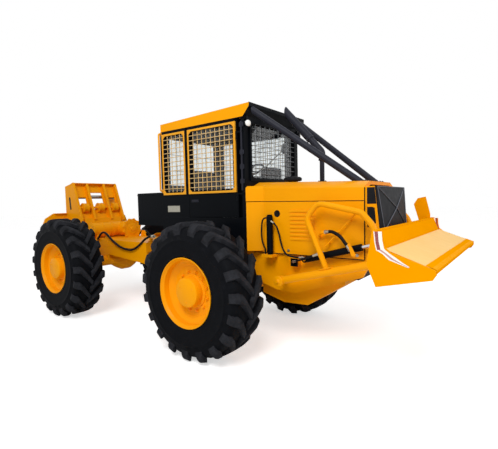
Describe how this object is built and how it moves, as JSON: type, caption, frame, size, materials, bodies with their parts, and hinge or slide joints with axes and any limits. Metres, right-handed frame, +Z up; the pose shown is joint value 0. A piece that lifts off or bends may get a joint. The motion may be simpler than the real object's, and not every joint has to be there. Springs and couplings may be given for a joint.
{
  "type": "articulated cable skidder",
  "caption": "Articulated forestry cable skidder: guarded cab, front blade on push arms with hoops, rear winch and leaning cable arch.",
  "frame": {"origin": "on the ground under the middle of the machine's length and width", "axes": "+X to the front (blade), +Y to the machine's left, +Z up"},
  "size_m": [6.315, 2.476, 2.761],
  "materials": {
    "yellow_paint": "gloss yellow-orange enamel",
    "black_paint": "gloss black enamel",
    "grey_paint": "dark grey satin enamel",
    "tyre_rubber": "moulded matt rubber",
    "hose_rubber": "smooth black hose cover",
    "chrome_rod": "polished hard chrome",
    "seat_cloth": "woven seat cloth",
    "engine_iron": "rough casting"
  },
  "bodies": {
    "front_frame": {"chassis_front": "yellow_paint", "front_axle": "yellow_paint", "engine_block": "engine_iron", "hood": "yellow_paint", "nose": "yellow_paint", "grille_screen": "black_paint", "cab_tub": "black_paint", "cab_front_wall": "black_paint", "cab_rear_wall": "black_paint", "cab_side_left": "black_paint", "cab_side_right": "black_paint", "cab_roof": "yellow_paint", "tank_box": "black_paint", "seat_pedestal": "grey_paint", "seat_cushion": "seat_cloth", "steering_console": "grey_paint", "exhaust": "grey_paint", "intake_cap": "grey_paint", "guard_tube_left": "grey_paint", "guard_tube_right": "grey_paint", "side_cylinder_left": "black_paint", "side_cylinder_right": "black_paint", "cylinder_hose_left": "hose_rubber", "cylinder_hose_right": "hose_rubber"},
    "rear_frame": {"chassis_rear": "yellow_paint", "rear_axle": "yellow_paint", "winch": "yellow_paint", "rear_arch": "yellow_paint", "butt_plate": "yellow_paint"},
    "blade_body": {"blade": "yellow_paint", "push_arm_left": "yellow_paint", "push_arm_right": "yellow_paint"},
    "door_left_body": {"door_left": "black_paint"},
    "door_right_body": {"door_right": "black_paint"},
    "wheel_front_left": {"rim_front_left": "yellow_paint", "tyre_front_left": "tyre_rubber"},
    "wheel_front_right": {"rim_front_right": "yellow_paint", "tyre_front_right": "tyre_rubber"},
    "wheel_rear_left": {"rim_rear_left": "yellow_paint", "tyre_rear_left": "tyre_rubber"},
    "wheel_rear_right": {"rim_rear_right": "yellow_paint", "tyre_rear_right": "tyre_rubber"},
    "lift_left_barrel_body": {"lift_left_barrel": "black_paint"},
    "lift_left_rod_body": {"lift_left_rod": "chrome_rod"},
    "lift_right_barrel_body": {"lift_right_barrel": "black_paint"},
    "lift_right_rod_body": {"lift_right_rod": "chrome_rod"},
    "steer_left_barrel_body": {"steer_left_barrel": "black_paint"},
    "steer_left_rod_body": {"steer_left_rod": "chrome_rod"},
    "steer_right_barrel_body": {"steer_right_barrel": "black_paint"},
    "steer_right_rod_body": {"steer_right_rod": "chrome_rod"}
  },
  "joints": [
    {"name": "centre_steering", "type": "hinge", "parent": "front_frame", "child": "rear_frame", "pos_m": [-0.6025, 0, 0.9], "axis": [0, 0, 1], "range_deg": [-40, 40]},
    {"name": "blade_lift", "type": "hinge", "parent": "front_frame", "child": "blade_body", "pos_m": [1.5935, 0, 0.843], "axis": [0, 1, 0], "range_deg": [-5, 41]},
    {"name": "door_left_swing", "type": "hinge", "parent": "front_frame", "child": "door_left_body", "pos_m": [1.0505, 0.582, 2.05], "axis": [0, 0, -1], "range_deg": [0, 80]},
    {"name": "door_right_swing", "type": "hinge", "parent": "front_frame", "child": "door_right_body", "pos_m": [1.0505, -0.582, 2.05], "axis": [0, 0, 1], "range_deg": [0, 80]},
    {"name": "wheel_front_left_spin", "type": "hinge", "parent": "front_frame", "child": "wheel_front_left", "pos_m": [0.8225, 1.01, 0.74], "axis": [0, 1, 0], "continuous": true},
    {"name": "wheel_front_right_spin", "type": "hinge", "parent": "front_frame", "child": "wheel_front_right", "pos_m": [0.8225, -1.01, 0.74], "axis": [0, 1, 0], "continuous": true},
    {"name": "wheel_rear_left_spin", "type": "hinge", "parent": "rear_frame", "child": "wheel_rear_left", "pos_m": [-2.0275, 1.01, 0.74], "axis": [0, 1, 0], "continuous": true},
    {"name": "wheel_rear_right_spin", "type": "hinge", "parent": "rear_frame", "child": "wheel_rear_right", "pos_m": [-2.0275, -1.01, 0.74], "axis": [0, 1, 0], "continuous": true},
    {"name": "lift_left_swing", "type": "hinge", "parent": "front_frame", "child": "lift_left_barrel_body", "pos_m": [1.8425, 0.5, 1.07], "axis": [0, 1, 0], "range_deg": [-6.5, 51]},
    {"name": "lift_left_stroke", "type": "slide", "parent": "lift_left_barrel_body", "child": "lift_left_rod_body", "axis": [0.9654, 0, 0.2609], "range_m": [-0.024, 0.19]},
    {"name": "lift_right_swing", "type": "hinge", "parent": "front_frame", "child": "lift_right_barrel_body", "pos_m": [1.8425, -0.5, 1.07], "axis": [0, 1, 0], "range_deg": [-6.5, 51]},
    {"name": "lift_right_stroke", "type": "slide", "parent": "lift_right_barrel_body", "child": "lift_right_rod_body", "axis": [0.9654, 0, 0.2609], "range_m": [-0.024, 0.19]},
    {"name": "steer_left_swing", "type": "hinge", "parent": "front_frame", "child": "steer_left_barrel_body", "pos_m": [-0.0275, 0.27, 0.91], "axis": [0, 0, 1], "range_deg": [-11, 11]},
    {"name": "steer_left_stroke", "type": "slide", "parent": "steer_left_barrel_body", "child": "steer_left_rod_body", "axis": [-1, 0, 0], "range_m": [-0.185, 0.185]},
    {"name": "steer_right_swing", "type": "hinge", "parent": "front_frame", "child": "steer_right_barrel_body", "pos_m": [-0.0275, -0.27, 0.91], "axis": [0, 0, 1], "range_deg": [-11, 11]},
    {"name": "steer_right_stroke", "type": "slide", "parent": "steer_right_barrel_body", "child": "steer_right_rod_body", "axis": [-1, 0, 0], "range_m": [-0.185, 0.185]}
  ],
  "couplings": [
    {"joint": "lift_left_swing", "follows": "blade_lift", "ratio": 1.2337},
    {"joint": "lift_left_stroke", "follows": "blade_lift", "m_per_rad": 0.2623},
    {"joint": "lift_right_swing", "follows": "blade_lift", "ratio": 1.2337},
    {"joint": "lift_right_stroke", "follows": "blade_lift", "m_per_rad": 0.2623},
    {"joint": "steer_left_swing", "follows": "centre_steering", "ratio": 0.27},
    {"joint": "steer_left_stroke", "follows": "centre_steering", "m_per_rad": 0.2614},
    {"joint": "steer_right_swing", "follows": "centre_steering", "ratio": 0.27},
    {"joint": "steer_right_stroke", "follows": "centre_steering", "m_per_rad": -0.2614}
  ]
}
